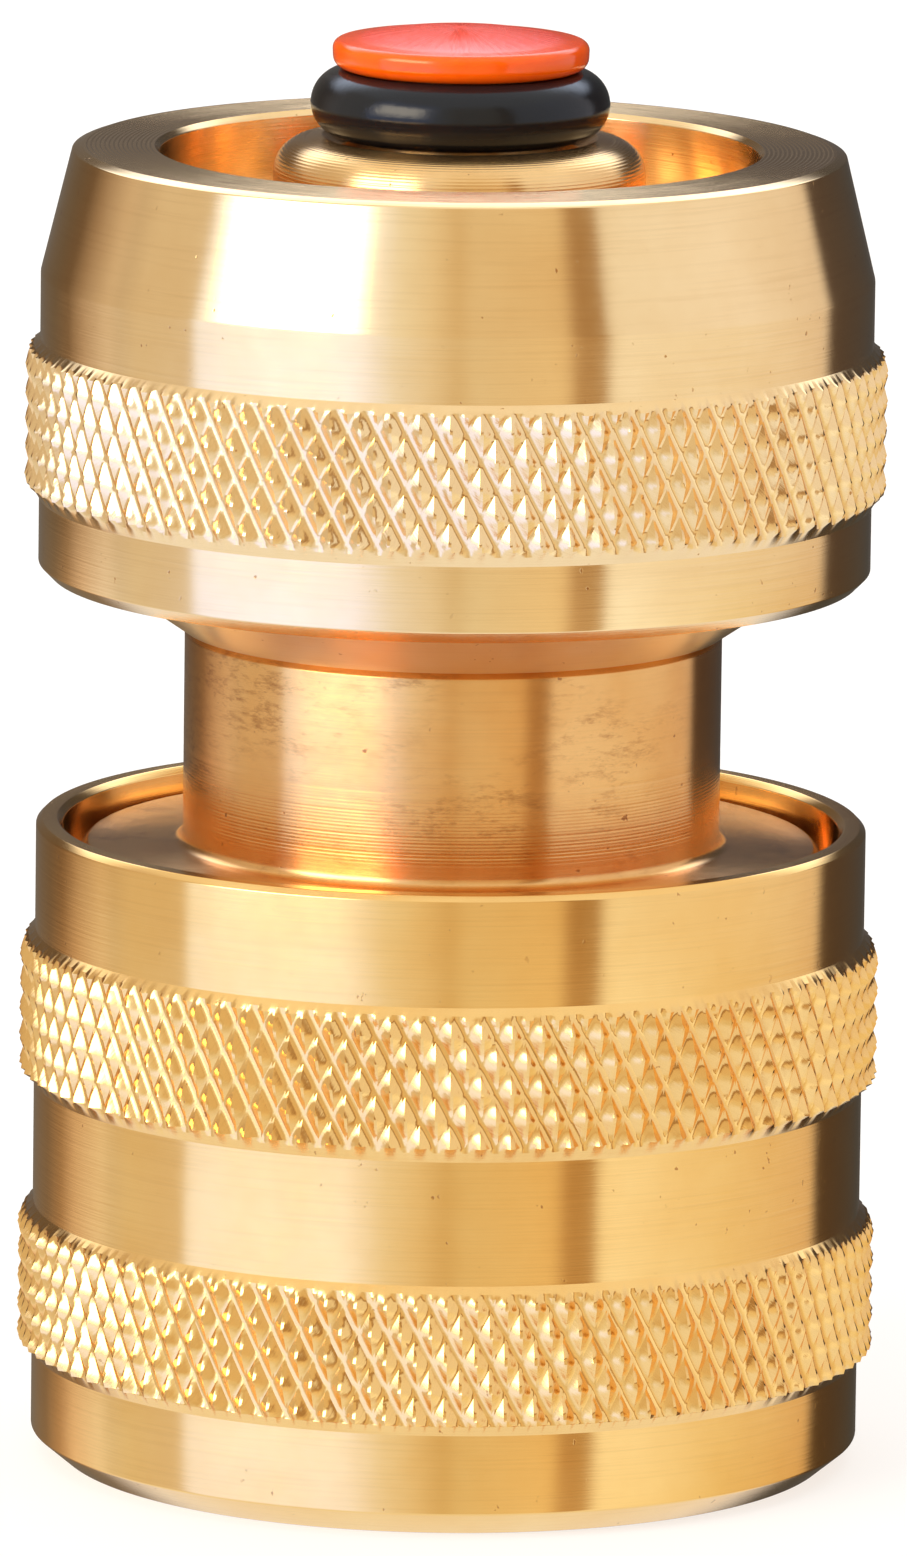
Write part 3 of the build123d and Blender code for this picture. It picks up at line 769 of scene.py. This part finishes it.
wear(build_release_sleeve(), pale, pale_knurl, cone_brass)
wear(build_hose_nut(), yellow, yellow_knurl)
wear(build_tail_body(), neck_brass)
wear(build_valve_tube(), nose_brass)
wear(build_nose_o_ring(), black_rubber)
wear(build_stem_cap(), cap_plastic())
wear(build_spring("sleeve_spring", 2.0, span("sleeve_spring")), spring_steel)
wear(build_spring("valve_spring", 3.5, span("valve_spring")), spring_steel)

for node_name, node_material in {
    "socket_body": cone_brass,
    "valve_stem": nose_brass,
    "stem_spider": yellow,
    "stem_retaining_ring": spring_steel,
    "sleeve_snap_ring": spring_steel,
    "joint_washer": plastic("washer_nylon", (0.75, 0.73, 0.66), 0.4),
    "hose_collet": plastic("collet_plastic", (0.55, 0.56, 0.56), 0.35),
    "nipple_o_ring": black_rubber,
    "valve_tube_o_ring": black_rubber,
}.items():
    wear(cad_nodes[node_name], node_material)
for index in range(6):
    wear(cad_nodes[f"lock_ball_{index + 1}"], ball_steel)


# ---------------------------------------------------------------- floor, light and camera

FLOOR_REACH = 30
FLOOR_DROP = 0.00002
FLOOR_COLOUR = (0.36, 0.32, 0.26, 1)
FLOOR_GLOW = 0.68


def build_floor():
    """Pale table top that shows as plain white round the shadow, and doesn't show in the metal."""
    mesh = bpy.data.meshes.new("floor")
    corners = [(x * FLOOR_REACH, y * FLOOR_REACH, 0) for x, y in ((-1, -1), (1, -1), (1, 1), (-1, 1))]
    mesh.from_pydata(corners, [], [(0, 1, 2, 3)])
    floor = bpy.data.objects.new("floor", mesh)
    bpy.context.scene.collection.objects.link(floor)
    floor.location.z = -FLOOR_DROP
    material = bpy.data.materials.new("floor")
    material.use_nodes = True
    n = Nodes(material.node_tree)
    n.tree.nodes.clear()
    matte = n.add("ShaderNodeBsdfDiffuse", {0: FLOOR_COLOUR})
    glow = n.add("ShaderNodeEmission", {0: (1, 1, 1, 1), 1: FLOOR_GLOW})
    both = n.add("ShaderNodeAddShader", {0: matte.outputs[0], 1: glow.outputs[0]})
    n.add("ShaderNodeOutputMaterial", {0: both.outputs[0]})
    mesh.materials.append(material)
    floor.visible_glossy = False
    floor.visible_diffuse = False


# Studio cards round the object: degrees from the camera's side, positive towards +X, then the light that each
# sends from about level. Neighbouring stops fade into each other.
CARDS = [
    (-180, (0.16, 0.15, 0.14)),
    (-148, (0.15, 0.12, 0.09)),
    (-136, (0.17, 0.12, 0.08)),
    (-127, (0.38, 0.30, 0.24)),
    (-113, (0.70, 0.64, 0.60)),
    (-107, (0.65, 0.61, 0.58)),
    (-99, (0.76, 0.73, 0.70)),
    (-79, (0.77, 0.75, 0.73)),
    (-76, (1.10, 1.40, 2.35)),
    (-28, (1.10, 1.40, 2.35)),
    (-17, (0.93, 1.02, 1.15)),
    (-7, (0.86, 0.84, 0.78)),
    (0, (0.74, 0.65, 0.50)),
    (5, (0.83, 0.79, 0.70)),
    (30, (0.84, 0.75, 0.60)),
    (34, (0.44, 0.30, 0.18)),
    (41, (0.44, 0.31, 0.18)),
    (44, (0.97, 1.05, 1.24)),
    (85, (0.99, 1.07, 1.32)),
    (122, (0.86, 0.86, 0.95)),
    (126, (0.10, 0.08, 0.08)),
    (165, (0.07, 0.07, 0.07)),
    (180, (0.12, 0.11, 0.11)),
]
# How many times that light comes from lower down, by direction and colour.
LOWER_SHARES = [
    (-180, (1.00, 1.00, 0.90)),
    (-165, (1.00, 1.00, 0.90)),
    (-150, (1.60, 1.50, 1.30)),
    (-135, (3.40, 3.60, 3.80)),
    (-120, (1.60, 2.00, 2.80)),
    (-100, (1.08, 1.18, 1.30)),
    (-85, (1.15, 1.35, 1.80)),
    (-76, (1.00, 1.03, 1.32)),
    (-28, (1.00, 1.03, 1.30)),
    (-15, (1.03, 1.11, 1.45)),
    (0, (1.06, 1.19, 1.41)),
    (15, (1.02, 1.07, 1.05)),
    (28, (1.05, 1.05, 0.98)),
    (34, (1.44, 1.60, 1.80)),
    (41, (1.44, 1.60, 1.80)),
    (48, (0.99, 0.99, 0.86)),
    (65, (1.04, 1.04, 0.88)),
    (85, (0.96, 0.88, 0.58)),
    (105, (0.95, 0.80, 0.50)),
    (120, (0.91, 0.71, 0.40)),
    (130, (1.00, 0.90, 0.60)),
    (145, (1.00, 1.00, 0.90)),
    (180, (1.00, 1.00, 0.90)),
]
KEY_CORE = (9.3, 9.0, 8.4)
OVERHEAD = (1.05, 1.12, 1.25)
REAR_WINDOW = (2.2, 2.5, 3.1)
TABLE_GLOW = (1.0, 1.15, 1.5)
BACKDROP = (1.0, 1.0, 1.0)


def level(degrees):
    """Height of a direction, as the sine of its angle above the horizon."""
    return math.sin(math.radians(degrees))


def lower_light(azimuth, colour):
    """Light that the cards in a direction send from lower down."""
    azimuths, shares = zip(*LOWER_SHARES)
    return tuple(light * np.interp(azimuth, azimuths, share) for light, share in zip(colour, zip(*shares)))


def card_ring(n, share, cards):
    """Colour of the cards at a share of the way round."""
    node = n.add("ShaderNodeValToRGB", {0: share})
    stops = node.color_ramp.elements
    stops[0].color = (*cards[0][1], 1)
    stops[-1].color = (*cards[-1][1], 1)
    for azimuth, colour in cards[1:-1]:
        stops.new((azimuth + 180) / 360).color = (*colour, 1)
    return node.outputs[0]


def build_world():
    """Softboxes, a dark flag and a dim room by direction, light above and a white table below."""
    world = bpy.data.worlds.new("studio")
    bpy.context.scene.world = world
    world.use_nodes = True
    n = Nodes(world.node_tree)
    n.tree.nodes.clear()
    direction = n.add("ShaderNodeTexCoord").outputs["Generated"]
    x, y, z = n.add("ShaderNodeSeparateXYZ", {0: direction}).outputs
    azimuth = n.math("ARCTAN2", x, n.times(y, -1.0))
    share = n.stretch(azimuth, -math.pi, math.pi)
    lower_cards = [(card_azimuth, lower_light(card_azimuth, colour)) for card_azimuth, colour in CARDS]
    upper, lower = card_ring(n, share, CARDS), card_ring(n, share, lower_cards)
    light = n.mix(n.ease(z, level(-9), level(-13)), upper, lower)
    core_across = n.times(n.ease(azimuth, math.radians(-76), math.radians(-64)),
                          n.ease(azimuth, math.radians(-24), math.radians(-36)))
    core_up = n.times(n.ease(z, level(4), level(15)), n.ease(z, level(40), level(30)))
    light = n.mix(n.times(core_across, core_up), light, KEY_CORE)
    lifted = n.math("ADD", z, n.times(n.ease(y, 0.2, 0.85), 0.2))
    light = n.mix(n.ease(lifted, level(36), level(54)), light, OVERHEAD)
    rear_up = n.times(n.ease(z, level(20), level(31)), n.ease(z, level(62), level(46)))
    light = n.mix(n.times(n.ease(y, 0.35, 0.75), rear_up), light, REAR_WINDOW)
    light = n.mix(n.ease(z, level(-30), level(-44)), light, TABLE_GLOW)
    seen = n.add("ShaderNodeLightPath").outputs["Is Camera Ray"]
    background = n.add("ShaderNodeBackground", {0: n.mix(seen, light, BACKDROP), 1: 1.0})
    n.add("ShaderNodeOutputWorld", {0: background.outputs[0]})


def build_camera():
    """Long lens in front of and a little above the coupling, tipped down to it."""
    data = bpy.data.cameras.new("camera")
    camera = bpy.data.objects.new("camera", data)
    bpy.context.scene.collection.objects.link(camera)
    data.sensor_width = 36
    data.lens = 391.0
    data.clip_start, data.clip_end = 0.01, 100
    looks_down, leans = 10.307, 0.758
    place = Matrix.Translation(Vector((0.000075, -0.6369, 0.1421)))
    tilt = Matrix.Rotation(math.radians(90 - looks_down), 4, "X")
    lean = Matrix.Rotation(math.radians(leans), 4, "Z")
    camera.matrix_world = place @ tilt @ lean
    bpy.context.scene.camera = camera


build_floor()
build_world()
build_camera()
bpy.context.scene.view_settings.view_transform = "Standard"
